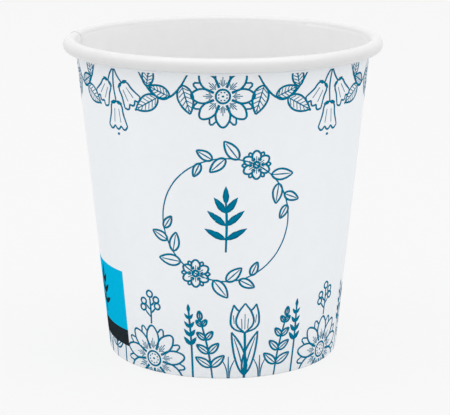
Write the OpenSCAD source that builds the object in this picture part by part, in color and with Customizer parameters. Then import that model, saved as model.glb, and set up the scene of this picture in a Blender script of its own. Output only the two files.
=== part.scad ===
// Single-wall paper cup for espresso: a printed board blank rolled into a cone,
// lapped at the side seam, rolled at the rim, and folded at the foot round the
// skirt of a separate bottom panel.

/* [Cup] */
// Outer diameter over the rolled rim
rim_d = 62; // [56:0.5:95]
// Outer diameter at the foot
base_d = 45.6; // [38:0.2:54]
// Overall height
cup_h = 62.4; // [45:0.2:140]

/* [Board] */
// Thickness of the side wall's board
wall_t = 0.32; // [0.2:0.02:0.44]
// Thickness of the bottom panel's board
bottom_t = 0.28; // [0.2:0.02:0.44]

/* [Rim] */
// Outer diameter of the rim's roll
curl_d = 2.7; // [2.2:0.1:4]
// Angle that the board is rolled through
curl_turn = 312; // [240:1:312]

/* [Foot] */
// Height of the bottom panel's underside above the table
bottom_recess = 6.5; // [4:0.1:12]
// Inside radius of the bend between the bottom panel and its skirt
bend_r = 0.5; // [0.3:0.1:1.2]
// Distance from that bend down to the fold's cut edge
fold_short = 0.8; // [0.3:0.1:1.6]
// Distance from the bottom of the straight fold up to the skirt's cut edge
skirt_short = 0.1; // [0.05:0.05:0.5]
// Width of the flat ring that the fold stands on
foot_flat = 0.5; // [0.2:0.05:0.6]
// Seal line on each side of the skirt
seal_gap = 0.02; // [0.01:0.01:0.05]

/* [Side seam] */
// Direction of the inner layer's cut edge, counted from +X towards +Y
seam_at = 170; // [0:5:355]
// Width of the lap at mid-height
lap_w = 6; // [4:0.5:10]
// Depth of the step that the lap leaves in the rim's roll
rim_step = 0.1; // [0.06:0.02:0.16]

/* [Hidden] */
$fn = 180;

// How far the seam's flat ramp is let into the wall, so that it crosses the cone cleanly
ramp_sink = 0.1;
// Angle through which the outer layer follows the cone past the inner layer's edge
ramp_lead = 1.5;
// Angle by which the lap's outer layer ends sooner inside the roll
roll_short = 6;
// Larger than any size of the cup, for cutting blocks
far = 3 * (cup_h + rim_d);

// The fold: the wall turns through half a circle round the skirt's edge
fold_gap = bottom_t + 2 * seal_gap;
fold_in_r = fold_gap / 2;
fold_out_r = fold_in_r + wall_t;
fold_r = base_d / 2 - fold_out_r;
fold_z = sqrt(pow(fold_out_r, 2) - pow(foot_flat / 2, 2));

// The roll: its centre, and the wall's lean as the line that touches roll and fold
curl_r = curl_d / 2;
curl_run = rim_d / 2 - curl_r - fold_r;
curl_rise = cup_h - curl_r - fold_z;
curl_reach = sqrt(pow(curl_run, 2) + pow(curl_rise, 2));
lean_offset = fold_in_r + curl_r;
wall_lean = atan2(curl_run, curl_rise) - asin(lean_offset / curl_reach);
wall_len = sqrt(pow(curl_reach, 2) - pow(lean_offset, 2));

// The bottom panel's bend: its centre, across and along the leaning wall and in the cup's frame
bend_x = -bottom_t / 2 - bend_r;
bend_z = bottom_recess - bend_r;
bend_y = (bend_z - fold_z + bend_x * sin(wall_lean)) / cos(wall_lean);
bend_axis_r = fold_r + bend_x * cos(wall_lean) + bend_y * sin(wall_lean);
bend_steps = 12;
skirt_len = bend_y - skirt_short;
fold_h = bend_y - fold_short;

// The seam: angles of the lap, and of the ramp where its outer layer comes down to the wall
mean_r = (rim_d + base_d) / 4;
lap_turn = lap_w / mean_r * 180 / PI;
foot_wall_r = base_d / 2 - wall_t;
ramp_turn = acos(foot_wall_r / (foot_wall_r + wall_t + ramp_sink)) + ramp_lead;
// The ramp's root lies in the wall. Its ends stop short of the fold and the roll, and the
// groove's a little shorter, where the rim's step takes over
ramp_root = 0.8 * wall_t;
ramp_end = wall_t;
groove_end = 3 * wall_t;
ramp_len = wall_len - 1.25 * curl_r;
step_run = wall_len - ramp_len + groove_end + wall_t;

board_white = "#f3f4f5";
bottom_white = "#eceded";

// Lays a section that is drawn upright, fold at the origin, along the leaning wall
module lean() {
    translate([fold_r, fold_z]) rotate(-wall_lean) children();
}

// Turns a section round the cup's axis from the seam, a minus angle going clockwise
module turn(through) {
    rotate([0, 0, seam_at]) rotate_extrude(angle = through) children();
}

// A ring sector of board, from one angle round to a greater one
module bent_board(inside_r, thickness, from, to) {
    steps = 8;
    cut_r = 2 * (inside_r + thickness);
    rest = 360 - (to - from);
    difference() {
        circle(r = inside_r + thickness);
        circle(r = inside_r);
        polygon(concat(
            [[0, 0]],
            [for (i = [0:steps]) cut_r * [cos(to + rest * i / steps), sin(to + rest * i / steps)]]
        ));
    }
}

// The fold is pressed flat where the cup stands
module flatten_foot() {
    difference() {
        children();
        translate([0, -far]) square([far, far]);
    }
}

// Puts a section at the centre of the rim's roll
module at_roll() {
    translate([fold_in_r + curl_r, wall_len]) children();
}

// The side blank's section: up inside the foot, round the fold, up the wall and round the roll
module side_section() {
    flatten_foot() lean() {
        translate([-fold_out_r, 0]) square([wall_t, fold_h]);
        bent_board(fold_in_r, wall_t, 180, 360);
        translate([fold_in_r, 0]) square([wall_t, wall_len]);
        at_roll() bent_board(curl_r - wall_t, wall_t, 180 - curl_turn, 180);
    }
}

// The lap's outer layer, which runs inside the roll, sunk halfway into the inner layer
module lap_section() {
    deep = 1.5 * wall_t;
    sunk_r = fold_out_r - wall_t / 2;
    flatten_foot() lean() {
        translate([-sunk_r - deep, 0]) square([deep, fold_h - wall_t]);
        bent_board(sunk_r, deep, 180, 360);
        translate([sunk_r, 0]) square([deep, wall_len]);
        at_roll() bent_board(curl_r - 2 * wall_t, deep, 180 - curl_turn + roll_short, 180);
    }
}

// The half-space behind a flat board that touches the wall's layer at one angle
module behind_flat(at, inside) {
    rotate([0, 0, at])
        translate([fold_r, 0, fold_z])
            rotate([0, wall_lean, 0])
                translate([inside - ramp_sink - far, -far / 2, -far / 2])
                    cube([far, far, far]);
}

// The straight part of a layer and a little behind it, cut short at the fold and under the roll
module straight_layer(inside, behind, short) {
    lean() translate([inside - behind, short]) square([wall_t + behind, ramp_len - 2 * short]);
}

// The lap, from the outer layer's cut edge to the inner layer's
module seam_lap() {
    turn(-lap_turn) lap_section();
}

// Past the inner layer's edge the outer layer runs on and straight down to the wall
module seam_ramp() {
    intersection() {
        turn(ramp_turn) straight_layer(fold_out_r, ramp_root, ramp_end);
        behind_flat(seam_at + ramp_turn, fold_out_r);
    }
}

// The same run seen from inside: a shallow groove beside the inner layer's edge
module seam_groove() {
    intersection() {
        turn(ramp_turn) straight_layer(fold_in_r, 2 * seal_gap, groove_end);
        behind_flat(seam_at + ramp_turn, fold_in_r);
    }
}

// The inner layer's edge shows at the top of the wall and over the roll as a small step
module seam_rim_step() {
    turn(ramp_turn) lean() at_roll() {
        bent_board(curl_r - rim_step, 2 * rim_step, 180 - curl_turn, 180);
        translate([-curl_r - rim_step, -step_run]) square([2 * rim_step, step_run]);
    }
}

// Rolled cone of board with its lap, rim roll and foot fold
module side_wall() {
    color(board_white) difference() {
        union() {
            rotate_extrude() side_section();
            seam_lap();
            seam_ramp();
        }
        seam_groove();
        seam_rim_step();
    }
}

// One face of the bottom blank, from the cup's axis level out to the bend, round it and down the skirt
function bottom_face(radius) = concat(
    [[0, bend_z + radius]],
    [for (i = [0:bend_steps]) let (a = 90 - i / bend_steps * (90 + wall_lean))
        [bend_axis_r + radius * cos(a), bend_z + radius * sin(a)]],
    [[bend_axis_r + radius * cos(wall_lean) - skirt_len * sin(wall_lean),
      bend_z - radius * sin(wall_lean) - skirt_len * cos(wall_lean)]]
);

// Panel, bend and skirt of the bottom blank as one strip
module bottom_section() {
    upper = bottom_face(bend_r + bottom_t);
    lower = bottom_face(bend_r);
    polygon(concat(upper, [for (i = [len(lower) - 1:-1:0]) lower[i]]));
}

// Drawn disc whose skirt is sealed between the wall and the fold
module bottom_panel() {
    color(bottom_white) rotate_extrude() bottom_section();
}

side_wall();
bottom_panel();
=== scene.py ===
# %% [markdown]
# # A printed paper cup for espresso
#
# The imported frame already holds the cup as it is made: one blank of board, rolled into a cone, lapped
# at a seam, rolled at the rim and folded at the foot, and a bottom panel whose skirt the fold grips.
# Those solids are right as they are, so this lesson keeps them and gives each face its finish. What is
# new is the print: a thin film of ink, drawn flat on the blank and then wrapped round the cone.

# %% Load the frame
import cmath
import math

import bmesh
import bpy
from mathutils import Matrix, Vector
from mathutils.bvhtree import BVHTree


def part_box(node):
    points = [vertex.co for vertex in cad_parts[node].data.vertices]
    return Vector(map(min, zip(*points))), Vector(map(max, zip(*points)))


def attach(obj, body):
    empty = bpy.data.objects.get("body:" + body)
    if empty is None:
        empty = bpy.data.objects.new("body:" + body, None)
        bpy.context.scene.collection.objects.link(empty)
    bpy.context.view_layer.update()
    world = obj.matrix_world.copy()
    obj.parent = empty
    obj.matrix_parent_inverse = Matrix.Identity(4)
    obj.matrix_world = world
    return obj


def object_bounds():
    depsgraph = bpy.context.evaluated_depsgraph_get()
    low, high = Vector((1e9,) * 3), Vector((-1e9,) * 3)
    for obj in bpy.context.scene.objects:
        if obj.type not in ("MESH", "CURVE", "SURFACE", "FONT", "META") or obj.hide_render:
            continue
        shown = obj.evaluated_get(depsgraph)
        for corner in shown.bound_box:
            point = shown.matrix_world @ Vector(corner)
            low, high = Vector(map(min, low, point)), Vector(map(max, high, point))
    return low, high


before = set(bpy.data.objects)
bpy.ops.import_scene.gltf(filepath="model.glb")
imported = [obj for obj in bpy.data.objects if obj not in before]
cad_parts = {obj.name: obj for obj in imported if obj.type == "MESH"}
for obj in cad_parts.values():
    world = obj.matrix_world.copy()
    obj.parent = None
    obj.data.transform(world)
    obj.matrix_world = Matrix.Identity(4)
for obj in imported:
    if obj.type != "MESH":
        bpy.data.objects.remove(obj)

MM = 0.001
cad_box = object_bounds()
side_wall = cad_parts["side_wall"]
bottom_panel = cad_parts["bottom_panel"]
print("frame:", sorted(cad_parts))
print("box in mm:", [[round(c / MM, 2) for c in corner] for corner in cad_box])

# %% [markdown]
# ## The camera
#
# A product photograph of a cup is taken from a little above the rim with a long lens, so that the
# sides stay nearly straight and the mouth shows as a narrow ellipse. The distance, the height and the
# lens were found by fitting the rim's and the foot's ellipses. The shift moves the frame by two pixels
# to the right, because the cup stands that much to the left of the picture's middle.

# %% Camera
CAMERA_AIM = Vector((0, 0, 27.89 * MM))
CAMERA_DISTANCE = 333 * MM
CAMERA_ELEVATION = math.radians(13.96)
CAMERA_LENS = 133.74
CAMERA_SHIFT = 0.0046

camera_data = bpy.data.cameras.new("camera")
camera_data.lens = CAMERA_LENS
camera_data.shift_x = CAMERA_SHIFT
camera_data.clip_start = 10 * MM
camera = bpy.data.objects.new("camera", camera_data)
bpy.context.scene.collection.objects.link(camera)
look_back = Vector((0, -math.cos(CAMERA_ELEVATION), math.sin(CAMERA_ELEVATION)))
camera.location = CAMERA_AIM + CAMERA_DISTANCE * look_back
camera.rotation_euler = look_back.to_track_quat("Z", "Y").to_euler()
bpy.context.scene.camera = camera
print("camera at", [round(c, 4) for c in camera.location])

# %% [markdown]
# ## Tools for the finishes
#
# Colours are written as sRGB hex values, as a printer would give them, and turned to the linear
# values that shader sockets take. One function adds a node, sets its options and fills its inputs
# with values or links. Patterns are sized in millimetres, and the Noise node counts per metre here.
# The Mix node has sockets for each kind of value under the same names, so its colours go by number.

# %% Helpers for materials
MIX_A = 6
MIX_B = 7
MIX_RESULT = 2


def linear(hex_colour):
    """An sRGB hex colour as linear RGBA."""
    channels = [int(hex_colour[i:i + 2], 16) / 255 for i in (1, 3, 5)]
    return (*[c / 12.92 if c <= 0.04045 else ((c + 0.055) / 1.055) ** 2.4 for c in channels], 1.0)


def add(tree, kind, inputs=None, **options):
    """Adds a node, sets its options, and fills its inputs with values or with links from other sockets."""
    node = tree.nodes.new(kind)
    for name, value in options.items():
        setattr(node, name, value)
    for name, value in (inputs or {}).items():
        if isinstance(value, bpy.types.NodeSocket):
            tree.links.new(value, node.inputs[name])
        else:
            node.inputs[name].default_value = value
    return node


def start_material(name):
    """A new material with its node tree and its Principled shader."""
    material = bpy.data.materials.new(name)
    material.use_nodes = True
    return material, material.node_tree, material.node_tree.nodes["Principled BSDF"]


def per_mm(size):
    """The Noise scale that makes features of this size in millimetres."""
    return 1 / (size * MM)


print("sRGB mid grey in linear:", round(linear("#808080")[0], 4))

# %% [markdown]
# ## Cup board, clay-coated outside
#
# The blank is bleached board of wood fibres with a smooth white clay coat for the print. It gives the
# eye a satin white that is very slightly cool, with faint clouds where the fibres lie denser. A flat
# colour would look like plastic, so a wide noise tints the white and a fine one makes the relief. Real
# fibres are about 0.03 mm wide, too fine to show, so the relief is drawn at 0.5 mm. The uncoated
# underside is matt and a little warmer, and the cut edges are creamy, because bare fibres show there.

# %% Board finishes
FIBRE_MM = 0.5


def board(name, white, shade, cloud_mm, roughness, relief_mm):
    """White board: clouds of two close whites over a fine relief of fibres."""
    material, tree, shader = start_material(name)
    spot = add(tree, "ShaderNodeTexCoord").outputs["Object"]
    clouds = add(tree, "ShaderNodeTexNoise", {"Vector": spot, "Scale": per_mm(cloud_mm), "Detail": 4.0})
    fibres = add(tree, "ShaderNodeTexNoise", {"Vector": spot, "Scale": per_mm(FIBRE_MM), "Detail": 2.0})
    tint = add(tree, "ShaderNodeMix", {0: clouds.outputs[0], MIX_A: linear(white), MIX_B: linear(shade)},
               data_type="RGBA")
    relief = add(tree, "ShaderNodeBump", {"Height": fibres.outputs[0], "Distance": relief_mm * MM})
    tree.links.new(tint.outputs[MIX_RESULT], shader.inputs["Base Color"])
    tree.links.new(relief.outputs[0], shader.inputs["Normal"])
    shader.inputs["Roughness"].default_value = roughness
    return material


coated_board = board("clay_coated_board", "#e8ebee", "#e4e7ea",
                     cloud_mm=3.0, roughness=0.45, relief_mm=0.004)
raw_board = board("uncoated_board", "#ebe9e4", "#dedbd3",
                  cloud_mm=1.2, roughness=0.85, relief_mm=0.02)
cut_board = board("cut_edge_of_board", "#e8e4da", "#d6d0c4",
                  cloud_mm=0.4, roughness=0.9, relief_mm=0.02)
print("board finishes:", coated_board.name, raw_board.name, cut_board.name)

# %% [markdown]
# ## The lining and the roll
#
# A film of polyethylene about 0.02 mm thick seals the inside, as a clear coat over the same board. The
# rim's roll turns that lined side outwards, and its outer half is burnished to a gloss that catches the
# light. That outer half is also painted a greyer copy of the lining, as painted shade for the roll's
# darker underside. Inside the mouth a painted shade comes in gently with height, a grey over the last
# millimetre below the top of the rim.

# %% Lined and rolled board
LINING_GLOSS = 0.25
ROLL_GLOSS = 0.6
LINING_ROUGHNESS = 0.2
PAINTED_SHADE_GREY = "#d4d4d4"
PAINTED_SHADE_FROM_MM = 1.3
PAINTED_SHADE_TO_MM = 0.6
rim_top = cad_box[1][2]

lined_board = board("lined_board", "#efefef", "#e9e9e9", cloud_mm=3.0, roughness=0.5, relief_mm=0.004)
# Painted shade: the roll's outer half is a greyer copy of the lining, for the darker underside of the roll.
roll_with_painted_shade = board("roll_with_painted_shade", "#d7d7d7", "#d1d1d1", cloud_mm=3.0, roughness=0.5, relief_mm=0.004)
for finish, gloss in ((lined_board, LINING_GLOSS), (roll_with_painted_shade, ROLL_GLOSS)):
    shader = finish.node_tree.nodes["Principled BSDF"]
    shader.inputs["Coat Weight"].default_value = gloss
    shader.inputs["Coat Roughness"].default_value = LINING_ROUGHNESS

# Painted shade: the lining turns grey with height near the top of the rim, inside the mouth and on the
# roll's inner half.
tree = lined_board.node_tree
white = tree.nodes["Mix"].outputs[MIX_RESULT]
axes = add(tree, "ShaderNodeSeparateXYZ", {0: add(tree, "ShaderNodeTexCoord").outputs["Object"]})
painted_shade_mask = add(tree, "ShaderNodeMapRange", {"Value": axes.outputs["Z"],
                                           "From Min": rim_top - PAINTED_SHADE_FROM_MM * MM,
                                           "From Max": rim_top - PAINTED_SHADE_TO_MM * MM},
              interpolation_type="SMOOTHSTEP")
white_with_painted_shade = add(tree, "ShaderNodeMix", {0: painted_shade_mask.outputs[0], MIX_A: white, MIX_B: linear(PAINTED_SHADE_GREY)},
            data_type="RGBA")
tree.links.new(white_with_painted_shade.outputs[MIX_RESULT], tree.nodes["Principled BSDF"].inputs["Base Color"])
print("lining:", lined_board.name, roll_with_painted_shade.name)

# %% [markdown]
# ## The knurled fold
#
# The machine presses the fold at the foot with a ribbed wheel, so that the skirt can't slip. The ribs
# show only from below, as fine upright lines inside the foot. They are 1 mm apart and a tenth of a
# millimetre deep, so a bump that counts the angle round the axis is enough.

# %% Knurled fold
RIB_COUNT = 132
RIB_DEPTH_MM = 0.1

knurled_board = board("knurled_board", "#efefee", "#e4e4e2", cloud_mm=2.0, roughness=0.55, relief_mm=0.01)
tree = knurled_board.node_tree
axes = add(tree, "ShaderNodeSeparateXYZ", {0: add(tree, "ShaderNodeTexCoord").outputs["Object"]})
turned = add(tree, "ShaderNodeMath", {0: axes.outputs["Y"], 1: axes.outputs["X"]}, operation="ARCTAN2")
phase = add(tree, "ShaderNodeMath", {0: turned.outputs[0], 1: float(RIB_COUNT)}, operation="MULTIPLY")
wave = add(tree, "ShaderNodeMath", {0: phase.outputs[0]}, operation="SINE")
fibre_relief = tree.nodes["Bump"]
ribs = add(tree, "ShaderNodeBump", {"Height": wave.outputs[0], "Distance": RIB_DEPTH_MM / 2 * MM,
                                    "Normal": fibre_relief.outputs[0]})
tree.links.new(ribs.outputs[0], tree.nodes["Principled BSDF"].inputs["Normal"])
print("knurled fold:", RIB_COUNT, "ribs")

# %% [markdown]
# ## The inks
#
# Cups are printed with water-based ink that soaks into the clay coat and dries with hardly any gloss.
# A solid area is never quite even, because the plate lays the ink down in tiny patches. So each ink
# mixes two close tones by a noise of 0.7 mm, and its specular level is 0, which keeps the tones deep.

# %% Inks
INK_PATCH_MM = 0.7
INK_ROUGHNESS = 0.45


def ink(name, tone, light_tone):
    """Printing ink with a slight unevenness."""
    material, tree, shader = start_material(name)
    spot = add(tree, "ShaderNodeTexCoord").outputs["Object"]
    patches = add(tree, "ShaderNodeTexNoise",
                  {"Vector": spot, "Scale": per_mm(INK_PATCH_MM), "Detail": 3.0})
    tint = add(tree, "ShaderNodeMix",
               {0: patches.outputs[0], MIX_A: linear(tone), MIX_B: linear(light_tone)}, data_type="RGBA")
    tree.links.new(tint.outputs[MIX_RESULT], shader.inputs["Base Color"])
    shader.inputs["Roughness"].default_value = INK_ROUGHNESS
    shader.inputs["Specular IOR Level"].default_value = 0.0
    return material


teal_ink = ink("teal_ink", "#006a8c", "#03789a")
cyan_ink = ink("cyan_ink", "#00a6d0", "#08b4dc")
dark_ink = ink("dark_ink", "#1d2327", "#2b3236")
print("inks:", teal_ink.name, cyan_ink.name, dark_ink.name)

# %% [markdown]
# ## The wall as a cone
#
# Everything on the wall is placed by two numbers: the angle from the front and the height up the
# slope. Rays from outside give the wall's radius at two heights, and with that its lean and its size as
# a flat blank. The wall is made of flat facets, so the largest radius over a few degrees is taken: that
# is where the facets meet. A tree of the wall's faces answers the rays here, and again for the ink.

# %% Measure the cone
SLOPE_LOW_Z = 10 * MM
SLOPE_HIGH_Z = 50 * MM
RAY_START = 50 * MM
SAMPLE_COUNT = 25
SAMPLE_TURN = 0.2
UP = Vector((0, 0, 1))
wall_faces = BVHTree.FromPolygons([v.co for v in side_wall.data.vertices],
                                  [p.vertices for p in side_wall.data.polygons])


def outwards(around):
    """The direction away from the axis at an angle in radians from +X."""
    return Vector((math.cos(around), math.sin(around), 0))


def wall_radius(around, z):
    """Outer radius of the wall at an angle in radians from +X, and a height."""
    ray = outwards(around)
    return wall_faces.ray_cast(ray * RAY_START + z * UP, -ray)[0].xy.length


def front_radius(z):
    """Outer radius of the wall at the front, where its facets meet."""
    return max(wall_radius(math.radians(-90 + SAMPLE_TURN * k), z) for k in range(SAMPLE_COUNT))


slope = (front_radius(SLOPE_HIGH_Z) - front_radius(SLOPE_LOW_Z)) / (SLOPE_HIGH_Z - SLOPE_LOW_Z)
lean = math.atan(slope)
foot_radius = front_radius(SLOPE_LOW_Z) - slope * SLOPE_LOW_Z
blank_foot = foot_radius / MM / math.sin(lean)


def cone_radius(z):
    """Outer radius of the straight wall, carried on past its ends."""
    return foot_radius + slope * z


print("lean", round(math.degrees(lean), 2), "degrees, foot radius", round(foot_radius / MM, 2), "mm")

# %% [markdown]
# ## Finishes on the two blanks
#
# Each face of the solids shows one side of the board. The outside of the wall is the clay coat, the
# inside and the roll are the lining, the cut edges at the seam are bare fibre, and the fold inside
# the foot is knurled. Painting them by hand would have to be done again after each change of the
# solids, so a face's place and the way it points say which one it is.

# %% Find the roll and the bottom
ROLL_STANDS_OUT = 1 * MM
wall_points = [v.co.copy() for v in side_wall.data.vertices]
roll_low = min(p.z for p in wall_points if p.xy.length > cone_radius(p.z) + ROLL_STANDS_OUT)
roll_middle = (roll_low + rim_top) / 2
roll_reach = max(p.xy.length - cone_radius(p.z) for p in wall_points)
panel_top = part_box("bottom_panel")[1].z
print("roll from", round(roll_low / MM, 2), "mm, bottom up to", round(panel_top / MM, 2), "mm")

# %% Assign the finishes
ON_ROLL = 0.1 * MM
EDGE_FACING = 0.9
INSIDE_FACING = -0.2
TOP_FACING = 0.5


def wall_finish(face):
    """Which side of the board a face of the wall shows."""
    middle = face.center
    outward = Vector((middle.x, middle.y, 0)).normalized()
    along = Vector((-outward.y, outward.x, 0))
    stands_out = middle.xy.length - cone_radius(middle.z)
    if middle.z > roll_low and stands_out > ON_ROLL:
        inner_half = middle.z > roll_middle and stands_out < roll_reach / 2
        return lined_board if inner_half else roll_with_painted_shade
    is_edge = abs(face.normal.dot(along)) > EDGE_FACING
    if is_edge and (stands_out > 0 or middle.z < panel_top):
        return cut_board
    if is_edge or face.normal.dot(outward) < INSIDE_FACING:
        return lined_board if middle.z > panel_top else knurled_board
    return coated_board


def panel_finish(face):
    """The bottom panel is lined above and bare below."""
    return lined_board if face.normal.z > TOP_FACING else raw_board


def dress(node, finishes, finish_of):
    """Gives a CAD node its materials and each of its faces the right one."""
    node.data.materials.clear()
    for finish in finishes:
        node.data.materials.append(finish)
    for face in node.data.polygons:
        face.material_index = finishes.index(finish_of(face))
    counts = [sum(f.material_index == i for f in node.data.polygons) for i in range(len(finishes))]
    print(node.name, dict(zip([f.name for f in finishes], counts)))


dress(side_wall, [coated_board, lined_board, roll_with_painted_shade, cut_board, knurled_board], wall_finish)
dress(bottom_panel, [raw_board, lined_board], panel_finish)

# %% [markdown]
# ## The flat blank
#
# The print is drawn on the flat blank, as it is on the press: a cone opens out into part of a ring
# whose centre is the cone's tip, so shapes keep their size and lines stay as wide as they were drawn.
# Complex numbers make good paper, because a product turns a shape and a sum moves it. A place is a
# function from a motif's own millimetres, upright at 0, to the blank.

# %% Places on the blank
def on_blank(angle, height):
    """The blank's point at degrees to the right of the front, and millimetres up the slope."""
    turned = math.radians(angle) * math.sin(lean)
    return (blank_foot + height) * 1j * cmath.exp(-1j * turned)


def place_at(angle, height, turn=0, mirrored=False):
    """A place for a motif: where it stands, how far it leans to the left, and whether it is mirrored."""
    origin = on_blank(angle, height)
    upright = cmath.exp(1j * (math.radians(turn) - math.radians(angle) * math.sin(lean)))

    def place(point):
        if mirrored:
            point = -point.conjugate()
        return origin + upright * point

    return place


def grow(place, base, turn=0, size=1):
    """A place on a motif that is itself at a place."""
    leaning = size * cmath.exp(1j * math.radians(turn))
    return lambda point: place(base + leaning * point)


print("blank from", round(blank_foot, 1), "mm radius,", round(360 * math.sin(lean), 1), "degrees wide")

# %% [markdown]
# ## The pen
#
# A botanical line drawing is made of pen strokes that thin out at their ends, and of brush strokes that
# swell in the middle for small solid leaves and buds. A Bezier curve with automatic handles runs
# smoothly through a few points, and its radius at each point sets the stroke's width. The curve's
# four-sided bevel is pressed flat later, to a film of ink.

# %% Strokes
LINE_MM = 0.4
FINE_MM = 0.28


def new_drawing(name):
    """An empty sheet for strokes, in millimetres on the blank."""
    drawing = bpy.data.curves.new(name, "CURVE")
    drawing.dimensions = "3D"
    drawing.twist_mode = "Z_UP"
    drawing.bevel_depth = LINE_MM / 2
    drawing.bevel_resolution = 0
    drawing.use_fill_caps = True
    return drawing


def stroke(drawing, place, points, widths, steps, closed=False):
    """A smooth stroke through points, with its width at each of them."""
    spline = drawing.splines.new("BEZIER")
    spline.bezier_points.add(len(points) - 1)
    spline.use_cyclic_u = closed
    spline.resolution_u = steps
    for knot, point, width in zip(spline.bezier_points, points, widths):
        spot = place(point)
        knot.co = (spot.real, spot.imag, 0)
        knot.radius = width / LINE_MM
        knot.handle_left_type = "AUTO"
        knot.handle_right_type = "AUTO"


print("line", LINE_MM, "mm, fine line", FINE_MM, "mm")

# %% Pen and brush
LONG_STEPS = 4
SHORT_STEPS = 3
DOT_STEPS = 2


def line(drawing, place, points, width=LINE_MM, ends=0.8, steps=SHORT_STEPS):
    """A pen line that is thinner at its ends."""
    widths = [width] * len(points)
    widths[0] *= ends
    widths[-1] *= ends
    stroke(drawing, place, points, widths, steps)


def fine_line(drawing, place, points):
    """A thin pen line, for veins, rays and blades."""
    line(drawing, place, points, FINE_MM, ends=0.6)


def ring(drawing, place, centre, radius, width=LINE_MM, knots=8):
    """A round pen line."""
    points = [centre + radius * cmath.exp(2j * math.pi * k / knots) for k in range(knots)]
    stroke(drawing, place, points, [width] * knots, SHORT_STEPS, closed=True)


def brush(drawing, place, length, width):
    """One press of a brush from 0 upwards: a small solid leaf or bud."""
    points = [1j * length * t for t in (0, 0.18, 0.42, 0.75, 1)]
    stroke(drawing, place, points, [width * w for w in (0.12, 0.72, 1, 0.66, 0.08)], SHORT_STEPS)


def dot(drawing, place, centre, radius):
    """A round dot."""
    points = [centre + radius * t for t in (-1, -0.7, 0.7, 1)]
    stroke(drawing, place, points, [2 * radius * w for w in (0.3, 0.72, 0.72, 0.3)], DOT_STEPS)


print("pen: line, fine line, ring and dot; brush: leaf or bud")

# %% [markdown]
# ## Trimming the blank
#
# The press prints the whole blank, and the cutter then trims it at the rim, the foot and the seam. So
# each drawing becomes a mesh, its points are read as angle and height, and bisect_plane trims it with
# straight cuts. A mask in the material could hide the waste too, but cuts leave no hidden faces behind.
# The lowest half millimetre of the wall bends inwards with the fold, so the shapes get a few more cuts
# there. The seam's place is read from the solid: it is the largest cut edge of the wall's board.

# %% Edges of the print
FOOT_TRIM = 0.05
ROLL_CLEAR = 0.6
rim_trim = (roll_low / MM - ROLL_CLEAR) / math.cos(lean)
cut_faces = [face for face in side_wall.data.polygons if wall_finish(face) == cut_board]
lap_edge = max(cut_faces, key=lambda face: face.area).center
seam_edge = math.degrees(math.atan2(lap_edge.y, lap_edge.x)) + 90
print("print from", FOOT_TRIM, "to", round(rim_trim, 2), "mm up the slope")
print("seam at", round(seam_edge, 1), "degrees from the front")

# %% Trim
FILM_MM = 0.012
SEAM_GAP = 0.6
FOLD_CUTS = (0.12, 0.22, 0.35, 0.5)


def unroll(shape):
    """Turns a bmesh on the blank into one whose x is the angle, y the height and z the film's side."""
    for vert in shape.verts:
        point = complex(vert.co.x, vert.co.y)
        angle = math.degrees((math.pi / 2 - cmath.phase(point)) / math.sin(lean))
        side = 0 if abs(vert.co.z) < FILM_MM / 10 else math.copysign(1, vert.co.z)
        vert.co = (angle, abs(point) - blank_foot, side)


def cut(shape, at, across, clear):
    """Cuts a shape by a plane, and may clear what lies past it."""
    everything = shape.verts[:] + shape.edges[:] + shape.faces[:]
    return bmesh.ops.bisect_plane(shape, geom=everything, dist=1e-6, plane_co=at, plane_no=across,
                                  clear_outer=clear)["geom_cut"]


def trim(shape, at, across):
    """Cuts off what lies past a plane, and closes the cut."""
    open_edges = [e for e in cut(shape, at, across, True) if isinstance(e, bmesh.types.BMEdge)]
    bmesh.ops.holes_fill(shape, edges=open_edges, sides=0)


def trim_blank(shape):
    """Trims a shape at the seam, the rim and the foot, and cuts it where the foot's fold bends."""
    gap = math.degrees(SEAM_GAP * MM / foot_radius)
    trim(shape, (seam_edge - gap, 0, 0), (1, 0, 0))
    trim(shape, (seam_edge - 360, 0, 0), (-1, 0, 0))
    trim(shape, (0, rim_trim, 0), (0, 1, 0))
    trim(shape, (0, FOOT_TRIM, 0), (0, -1, 0))
    for height in FOLD_CUTS:
        cut(shape, (0, height, 0), (0, -1, 0), False)


print("trims: seam, rim and foot, and", len(FOLD_CUTS), "cuts for the fold")

# %% [markdown]
# ## From the flat blank to the cup
#
# Each point goes inwards on a ray until it meets the wall, and stays on it as a film. Two things would
# let the board show through. The wall's flat facets lie a little inside the true cone, so a point on
# one is moved out to the cone. And at the seam the outer layer comes down in a flat ramp with creases,
# so a point takes the largest of three radii: its own, and half a millimetre to each side. Real ink is
# a few thousandths of a millimetre thick. Here it stands twelve thousandths proud, so that no ray
# passes under it, and as deep in the board. The faces are turned outwards while the film is still
# drawn one unit thick, because so thin a shell is easily turned inside out.

# %% Wrap
FACET_SAG = 0.03 * MM
CREASE_REACH = 0.5 * MM


def onto_wall(shape, layer):
    """Moves the points of an unrolled shape onto the wall, clear of the seam's creases beside them."""
    for vert in shape.verts:
        angle, height, side = vert.co
        around = math.radians(angle - 90)
        z = height * math.cos(lean) * MM
        beside = CREASE_REACH / cone_radius(z)
        radius = max(wall_radius(around + k * beside, z) for k in (-1, 0, 1))
        if 0 < cone_radius(z) - radius < FACET_SAG:
            radius = cone_radius(z)
        skin = outwards(around) * math.cos(lean) - UP * math.sin(lean)
        vert.co = outwards(around) * radius + z * UP + skin * (side + layer) * FILM_MM * MM


print("film of ink", 2 * FILM_MM, "mm thick, half of it proud")

# %% Print
MERGE_MM = 1e-4


def print_on_wall(name, shape, ink_used, layer=0):
    """Wraps a shape from the blank round the cup, raised by some films, and lets it ride on it."""
    unroll(shape)
    trim_blank(shape)
    bmesh.ops.recalc_face_normals(shape, faces=shape.faces[:])
    onto_wall(shape, layer)
    mesh = bpy.data.meshes.new(name)
    shape.to_mesh(mesh)
    shape.free()
    mesh.materials.append(ink_used)
    piece = bpy.data.objects.new(name, mesh)
    bpy.context.scene.collection.objects.link(piece)
    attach(piece, "root")
    print(name, "has", len(mesh.polygons), "faces")


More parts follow.
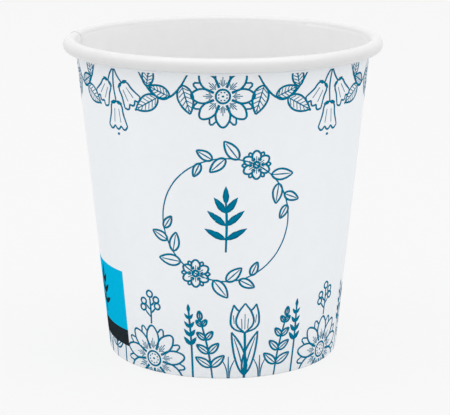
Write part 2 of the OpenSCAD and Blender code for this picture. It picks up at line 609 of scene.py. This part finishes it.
def print_drawing(drawing, ink_used, layer=0):
    """Prints a drawing's strokes."""
    maker = bpy.data.objects.new(drawing.name, drawing)
    flat = bpy.data.meshes.new_from_object(maker)
    bpy.data.objects.remove(maker)
    shape = bmesh.new()
    shape.from_mesh(flat)
    bmesh.ops.remove_doubles(shape, verts=shape.verts[:], dist=MERGE_MM)
    print_on_wall(drawing.name, shape, ink_used, layer)


print("points of a drawing closer than", MERGE_MM, "mm are merged")

# %% [markdown]
# ## Leaves and flowers
#
# Each motif is drawn upright from its stalk at 0, in millimetres, from the few points that its outline
# needs. A leaf's width follows a sine that is fuller near the stalk. The others repeat a petal, a bud
# or a leaf in a loop, as the plant does.

# %% Leaf
def leaf(drawing, place, length, width, veins=0, bend=0.0):
    """A pointed leaf with its midrib and side veins, bent sideways towards the tip."""
    def point(side, t):
        belly = max(0.0, math.sin(math.pi * t ** 0.8)) ** 0.85
        return bend * t * t + side * width / 2 * belly + 1j * length * t

    for side in (-1, 1):
        line(drawing, place, [point(side, t) for t in (0, 0.12, 0.35, 0.62, 0.85, 1)])
        for k in range(veins):
            t = (k + 0.7) / (veins + 1)
            fine_line(drawing, place, [point(0, t), point(side * 0.78, t + 0.14)])
    fine_line(drawing, place, [point(0, t) for t in (0, 0.45, 0.86)])


print("leaf: two sides, midrib and veins")


# %% Open flower
def flower(drawing, place, radius, petals, rays=2):
    """A flower seen from above: petals with fine rays, the back petals' tips, and a dotted heart."""
    heart = 0.22 * radius
    width = 1.18 * math.pi * radius / petals
    for k in range(petals):
        petal = grow(place, 0, 360 * k / petals)
        side = [-0.28 * width + 0.27j * radius, -0.5 * width + 0.62j * radius, -0.3 * width + 0.9j * radius]
        other = [-p.conjugate() for p in reversed(side)]
        line(drawing, petal, side + [1j * radius] + other)
        for ray in range(-rays, rays + 1):
            spread = 0.26 * ray / rays * width
            low = 0.6 * spread + 1j * radius * (0.3 + 0.04 * abs(ray))
            high = spread + 1j * radius * (0.62 - 0.09 * abs(ray))
            fine_line(drawing, petal, [low, high])
        back = grow(place, 0, 360 * (k + 0.5) / petals)
        line(drawing, back, [-0.24 * width + 0.82j * radius, 0.99j * radius, 0.24 * width + 0.82j * radius])
        dot(drawing, back, 0.62j * heart, 0.07 * radius ** 0.5)
    ring(drawing, place, 0, heart)
    dot(drawing, place, 0, 0.1 * radius ** 0.5)


print("open flower: petals, rays, back petals and heart")


# %% Bellflower
def bellflower(drawing, place, stalk, size):
    """A bell on a stalk, with a scalloped mouth and the tip of its stamen."""
    line(drawing, place, [0, 0.06 * stalk + 0.5j * stalk, 1j * stalk], ends=0.9)
    bell = grow(place, 1j * stalk, 0, size)
    for side in (-1, 1):
        outline = [0, side * 0.26 + 0.1j, side * 0.36 + 0.5j, side * 0.54 + 1j]
        line(drawing, bell, outline, steps=LONG_STEPS)
        fine_line(drawing, bell, [side * 0.12 + 0.3j, side * 0.18 + 0.86j])
        brush(drawing, grow(bell, 0, -side * 78), 0.36, 0.17 * size)
    for k in (-1, 0, 1):
        scallop = grow(bell, 0.36 * k + 1j)
        line(drawing, scallop, [-0.18, 0.15j, 0.18], ends=0.9)
    dot(drawing, grow(bell, 1.34j, 0, 1 / size), 0, 0.32)


print("bellflower: stalk, bell, scallops and stamen")


# %% Tulip
def tulip(drawing, place, height, head):
    """A tulip on a stem, with two long leaves at its foot."""
    neck = height - head
    line(drawing, place, [0, 0.12 + 0.5j * neck, 1j * neck], 1.2 * LINE_MM, ends=1, steps=LONG_STEPS)
    cup = grow(place, 1j * neck, 0, head)
    for side in (-1, 1):
        middle_petal = [0, side * 0.27 + 0.3j, side * 0.22 + 0.66j, 1j]
        side_petal = [0, side * 0.4 + 0.2j, side * 0.45 + 0.55j, side * 0.36 + 0.96j]
        side_tip = [side * 0.36 + 0.96j, side * 0.27 + 0.82j, side * 0.19 + 0.74j]
        for outline in (middle_petal, side_petal, side_tip):
            line(drawing, cup, outline, steps=LONG_STEPS)
        fine_line(drawing, cup, [side * 0.09 + 0.14j, side * 0.11 + 0.48j])
        fine_line(drawing, cup, [side * 0.34 + 0.32j, side * 0.37 + 0.6j])
        at_leaf = grow(place, 0.04j * height, -side * 9)
        leaf(drawing, at_leaf, 0.6 * height, 0.13 * height, bend=side * 0.07 * height)
    fine_line(drawing, cup, [0.12j, 0.64j])


print("tulip: stem, three petals and two leaves")


# %% Fern and flower spike
def fern(drawing, place, length, pairs, bend):
    """A frond with pairs of small leaves that shorten towards the tip."""
    def stem(t):
        return bend * t * t + 1j * length * t

    line(drawing, place, [stem(t) for t in (0, 0.33, 0.66, 1)], steps=LONG_STEPS)
    for k in range(pairs):
        t = 0.2 + 0.68 * k / (pairs - 1)
        for side in (-1, 1):
            small = grow(place, stem(t), -side * (56 - 18 * t) - 2 * t * bend)
            leaf(drawing, small, 0.31 * length * (1.05 - 0.72 * t), 0.12 * length * (1.1 - 0.6 * t))
    leaf(drawing, grow(place, stem(0.98), -2 * bend), 0.15 * length, 0.07 * length)


def spike(drawing, place, height, rows):
    """A flower spike: rows of paired buds over a bare stem."""
    line(drawing, place, [0, 0.15 + 0.5j * height, 0.97j * height], ends=1, steps=LONG_STEPS)
    for k in range(rows):
        at = 1j * height * (0.46 + 0.48 * k / rows)
        bud = 2.1 * (1 - 0.4 * k / rows)
        for side in (-1, 1):
            brush(drawing, grow(place, at, -side * 36), bud, 0.42 * bud)
    brush(drawing, grow(place, 0.92j * height), 1.7, 0.75)


print("fern: stem and pairs of leaves; flower spike: stem and pairs of buds")


# %% Berries and grass
def berries(drawing, place, height, twigs):
    """A twig with a ring-shaped berry at the end of each side shoot."""
    line(drawing, place, [0, 0.1 + 0.5j * height, 1j * height], ends=0.9, steps=LONG_STEPS)
    for k in range(twigs):
        side = 1 if k % 2 else -1
        shoot = grow(place, 1j * height * (0.25 + 0.55 * k / twigs), -side * 44)
        reach = 0.34 * height * (1 - 0.3 * k / twigs)
        line(drawing, shoot, [0, 0.05 * side + 0.5j * reach, 1j * reach], ends=0.6)
        ring(drawing, shoot, 1j * (reach + 0.62), 0.62, knots=6)
    ring(drawing, place, 1j * (height + 0.66), 0.66, knots=6)


def grass(drawing, place, height, blades):
    """A tuft of fine blades."""
    for k in range(blades):
        lean_out = (k - (blades - 1) / 2) / blades
        tip = height * (1 - 0.5 * abs(lean_out)) * (0.9 * lean_out + 1j)
        fine_line(drawing, place, [0.6 * lean_out, 0.35 * tip.real + 0.55j * tip.imag, tip])


print("berries: a twig and its shoots; grass: a tuft of blades")

# %% [markdown]
# ## The border under the rim
#
# Festoons hang from under the roll. Flowers and groups of bells take turns as the points that they
# hang from, and the trim cuts off what reaches too high, as on a real cup. Two repeats more than go
# round are drawn, because the seam's trim takes what lies past it on either side.

# %% Festoon
def vine(drawing, place, reach, sag, leaves):
    """A hanging stem from 0 across to one side, with leaves above and below in turn."""
    def stem(t):
        return reach * t - 4j * sag * t * (1 - t)

    line(drawing, place, [stem(k / 5) for k in range(6)], steps=LONG_STEPS)
    for k in range(leaves):
        t = 0.12 + 0.7 * k / (leaves - 1)
        heading = math.degrees(cmath.phase(stem(t + 0.01) - stem(t))) - 90
        below = k % 2 == 0
        size = 1 if below else 0.8
        at_leaf = grow(place, stem(t), heading + (-50 if below else 50))
        leaf(drawing, at_leaf, 5.6 * size, 2.9 * size, veins=6)


print("festoon: a hanging stem with veined leaves")

# %% Top border
TOP_REPEATS = 4
SPARE_REPEATS = 2


def top_unit(drawing, angle):
    """One flower, the bells beside it, and the two festoons between."""
    flower(drawing, place_at(angle, rim_trim - 3.8), radius=5.8, petals=8)
    at_bells = place_at(angle + 180 / TOP_REPEATS, rim_trim + 0.4)
    for turn, stalk, size in ((147, 3.4, 4.2), (180, 6.6, 4.6), (213, 3.4, 4.2)):
        bellflower(drawing, grow(at_bells, 0, turn), stalk, size)
    for side in (1, -1):
        at_vine = place_at(angle + side * 12.8, rim_trim + 0.2, mirrored=side < 0)
        vine(drawing, at_vine, reach=10, sag=4.8, leaves=4)


top_border = new_drawing("top_border")
for k in range(-SPARE_REPEATS, TOP_REPEATS):
    top_unit(top_border, 360 * k / TOP_REPEATS)
print_drawing(top_border, teal_ink)

# %% [markdown]
# ## The border above the foot
#
# A flower bed grows up from the foot: a tulip between tufts of grass, ferns and flower spikes, and a
# large flower that the foot cuts off, with berries above it. The bed is turned by a few degrees, so
# that no plant peeps out half covered at the edge of the colour panel.

# %% Foot border
FOOT_REPEATS = 4
FOOT_TURN = 10


def foot_unit(drawing, angle):
    """One repeat of the flower bed, with the tulip in its middle."""
    at_flower = place_at(angle + 180 / FOOT_REPEATS, 2.8)
    flower(drawing, at_flower, radius=6.8, petals=9)
    berries(drawing, grow(at_flower, 7.2j), height=5.4, twigs=4)
    tulip(drawing, place_at(angle, 0), height=15.4, head=6.0)
    for side in (1, -1):
        mirrored = side < 0
        at_fern = place_at(angle + side * 15, 0, -5 * side, mirrored)
        fern(drawing, at_fern, length=12.4, pairs=4, bend=1.2)
        spike(drawing, place_at(angle + side * 24.5, 0, -2 * side), height=14.6, rows=4)
        grass(drawing, place_at(angle + side * 7.5, 0, 0, mirrored), height=4.6, blades=3)


foot_border = new_drawing("foot_border")
for k in range(-SPARE_REPEATS, FOOT_REPEATS):
    foot_unit(foot_border, FOOT_TURN + 360 * k / FOOT_REPEATS)
print_drawing(foot_border, teal_ink)

# %% [markdown]
# ## The wreath at the front
#
# A fine ring carries two flowers on opposite sides, with leaves that grow smaller along the ring on both
# sides of each. In its middle is a bolder sprig of brush strokes.

# %% Wreath and sprig
FLOWERS_AT = (62, 242)


def wreath(drawing, place, radius, leaves):
    """A ring with two flowers, and leaves that run both ways from them, outside and inside it in turn."""
    ring(drawing, place, 0, radius, FINE_MM, knots=24)
    for middle in FLOWERS_AT:
        at_flower = grow(place, radius * cmath.exp(1j * math.radians(middle)))
        flower(drawing, at_flower, radius=2.7, petals=6, rays=1)
        for k in range(leaves):
            t = 17 + 11.5 * k
            out = -1 if k % 2 == 0 else 1
            size = 1 - 0.45 * k / leaves
            for side in (-1, 1):
                at = radius * cmath.exp(1j * math.radians(middle + side * t))
                heading = middle + side * t + (0 if side > 0 else 180)
                leaf(drawing, grow(place, at, heading + side * out * 42), 4.4 * size, 2.1 * size)


def sprig(drawing, place, height):
    """A bold sprig: a stem with solid leaves in pairs."""
    line(drawing, place, [0, 0.15 + 0.5j * height, 0.8j * height], 1.2 * LINE_MM, steps=LONG_STEPS)
    for t, turn, length in ((0.2, 62, 0.36), (0.42, 50, 0.36), (0.62, 36, 0.3)):
        for side in (-1, 1):
            brush(drawing, grow(place, 1j * t * height, side * turn), length * height, 0.11 * height)
    brush(drawing, grow(place, 0.76j * height), 0.28 * height, 0.1 * height)


print("wreath with flowers at", FLOWERS_AT, "degrees; sprig of brush strokes")

# %% Print the wreath
WREATH_ANGLE = 1.2
WREATH_HEIGHT = 31.9

centre_wreath = new_drawing("centre_wreath")
at_wreath = place_at(WREATH_ANGLE, WREATH_HEIGHT)
wreath(centre_wreath, at_wreath, radius=12.0, leaves=4)
sprig(centre_wreath, grow(at_wreath, -6.2j), height=12.4)
print_drawing(centre_wreath, teal_ink)

# %% [markdown]
# ## The colour panel
#
# Round to the left is a panel in solid cyan with a dark strip along its foot, printed over the flower
# bed. A flat face can't follow the cone, so the panel starts as a grid of narrow strips. A plain dark
# sprig fills it. The panel lies a film above the flower bed, and the sprig above the panel.

# %% Colour panel
PANEL_RIGHT_ANGLE = -51.8
PANEL_FOOT_HEIGHT = 7.0
PANEL_HEIGHT = 12.1
PANEL_WIDTH = 19.0
STRIP_HEIGHT = 3.35
GRID_MM = 0.7
FACE_ORDER = Vector((1, 10, 100))
PANEL_LAYER = 1
SPRIG_LAYER = 3


def block(place, low, high, width):
    """A solid rectangle to the left of 0, as thick as the film."""
    shape = bmesh.new()
    bmesh.ops.create_grid(shape, x_segments=math.ceil(width / GRID_MM), y_segments=1, size=0.5)
    made = bmesh.ops.extrude_face_region(shape, geom=shape.faces[:], use_keep_orig=True)
    for vert in [v for v in made["geom"] if isinstance(v, bmesh.types.BMVert)]:
        vert.co.z = 1
    # The extrusion makes its sides in no fixed order, so the faces are put in one
    shape.faces.sort(key=lambda face: face.calc_center_median().dot(FACE_ORDER))
    for vert in shape.verts:
        spot = place((vert.co.x - 0.5) * width + 1j * (low + (vert.co.y + 0.5) * (high - low)))
        vert.co = (spot.real, spot.imag, FILM_MM if vert.co.z > 0 else -FILM_MM)
    return shape


at_panel = place_at(PANEL_RIGHT_ANGLE, PANEL_FOOT_HEIGHT)
print_on_wall("colour_panel", block(at_panel, 0, PANEL_HEIGHT, PANEL_WIDTH), cyan_ink, PANEL_LAYER)
print_on_wall("panel_strip", block(at_panel, -STRIP_HEIGHT, 0, PANEL_WIDTH), dark_ink, PANEL_LAYER)
panel_sprig = new_drawing("panel_sprig")
sprig(panel_sprig, grow(at_panel, -9.5 + 1.3j), height=9.6)
print_drawing(panel_sprig, dark_ink, SPRIG_LAYER)

# %% [markdown]
# ## The floor
#
# The cup stands on a pale floor in a white room. The camera sees the floor and the world in the same
# pale grey, so no horizon shows, and a share of the floor stays a real surface that keeps the cup's
# shadow. The floor is clear from below and open under the foot, so that the recess has light when it
# is looked at from there.

# %% Floor
FLOOR_SIZE = 3.0
FLOOR_SIDES = 128
STANDING = 0.01 * MM
floor_hole = max(-p.y for p in wall_points if p.z < STANDING) - STANDING

floor_shape = bmesh.new()
for radius in (floor_hole, FLOOR_SIZE):
    bmesh.ops.create_circle(floor_shape, segments=FLOOR_SIDES, radius=radius)
bmesh.ops.bridge_loops(floor_shape, edges=floor_shape.edges[:])
floor_shape.normal_update()
downward = [face for face in floor_shape.faces if face.normal.z < 0]
bmesh.ops.reverse_faces(floor_shape, faces=downward)
floor_mesh = bpy.data.meshes.new("floor")
floor_shape.to_mesh(floor_mesh)
floor_shape.free()
floor = bpy.data.objects.new("floor", floor_mesh)
bpy.context.scene.collection.objects.link(floor)
print("floor", 2 * FLOOR_SIZE, "m across, open under the foot for", round(2 * floor_hole / MM, 2), "mm")

# %% Floor paint
FLOOR_GREY = "#e6e6e6"
FLOOR_GLOW = "#f7f7f7"
FLOOR_ROUGHNESS = 0.9
SHADOW_SHARE = 0.1


def seen_directly(tree):
    """A socket that is 1 for the camera's rays and for those mirrored or passed on to it."""
    path = add(tree, "ShaderNodeLightPath")
    either = add(tree, "ShaderNodeMath",
                 {0: path.outputs["Is Camera Ray"], 1: path.outputs["Is Glossy Ray"]}, operation="MAXIMUM")
    return add(tree, "ShaderNodeMath", {0: either.outputs[0], 1: path.outputs["Is Transmission Ray"]},
               operation="MAXIMUM").outputs[0]


floor_paint, tree, shader = start_material("pale_floor")
shader.inputs["Base Color"].default_value = linear(FLOOR_GREY)
shader.inputs["Roughness"].default_value = FLOOR_ROUGHNESS
shader.inputs["Specular IOR Level"].default_value = 0.0
glow = add(tree, "ShaderNodeEmission", {"Color": linear(FLOOR_GLOW)})
share = add(tree, "ShaderNodeMath", {0: seen_directly(tree), 1: 1 - SHADOW_SHARE}, operation="MULTIPLY")
seen = add(tree, "ShaderNodeMixShader", {0: share.outputs[0], 1: shader.outputs[0], 2: glow.outputs[0]})
under = add(tree, "ShaderNodeMixShader", {0: add(tree, "ShaderNodeNewGeometry").outputs["Backfacing"],
                                          1: seen.outputs[0],
                                          2: add(tree, "ShaderNodeBsdfTransparent").outputs[0]})
tree.links.new(under.outputs[0], tree.nodes["Material Output"].inputs["Surface"])
floor_mesh.materials.append(floor_paint)
print("floor paint:", floor_paint.name, "with", SHADOW_SHARE, "of its shade kept")

# %% [markdown]
# ## The light
#
# A large soft lamp overhead makes the rim the brightest place and leaves a soft shade under the roll,
# two smaller ones lift the sides, and an even white world fills the rest.

# %% World
WORLD_WHITE = "#ffffff"
WORLD_STRENGTH = 0.97
BACKDROP = "#f8f8f8"

world = bpy.data.worlds.new("white_room")
bpy.context.scene.world = world
world.use_nodes = True
tree = world.node_tree
room = tree.nodes["Background"]
room.inputs["Color"].default_value = linear(WORLD_WHITE)
room.inputs["Strength"].default_value = WORLD_STRENGTH
backdrop = add(tree, "ShaderNodeBackground", {"Color": linear(BACKDROP), "Strength": 1.0})
sky = add(tree, "ShaderNodeMixShader",
          {0: seen_directly(tree), 1: room.outputs[0], 2: backdrop.outputs[0]})
tree.links.new(sky.outputs[0], tree.nodes["World Output"].inputs["Surface"])
bpy.context.scene.view_settings.view_transform = "Standard"
print("world", WORLD_STRENGTH, "seen as", BACKDROP)

# %% Lamps
OVERHEAD_POWER = 2.6
SIDE_POWER = 1.1


def softbox(name, place, size, power):
    """A round soft lamp that looks at the middle of the cup."""
    lamp_data = bpy.data.lights.new(name, "AREA")
    lamp_data.shape = "DISK"
    lamp_data.size = size
    lamp_data.energy = power
    lamp = bpy.data.objects.new(name, lamp_data)
    bpy.context.scene.collection.objects.link(lamp)
    lamp.visible_camera = False
    lamp.location = place
    lamp.rotation_euler = (Vector(place) - CAMERA_AIM).to_track_quat("Z", "Y").to_euler()


softbox("overhead_softbox", (0, 0, 0.95), size=1.0, power=OVERHEAD_POWER)
softbox("left_softbox", (-0.6, -0.15, 0.8), size=0.6, power=SIDE_POWER)
softbox("right_softbox", (0.6, -0.15, 0.8), size=0.6, power=SIDE_POWER)
print("overhead", OVERHEAD_POWER, "W, sides", SIDE_POWER, "W each")
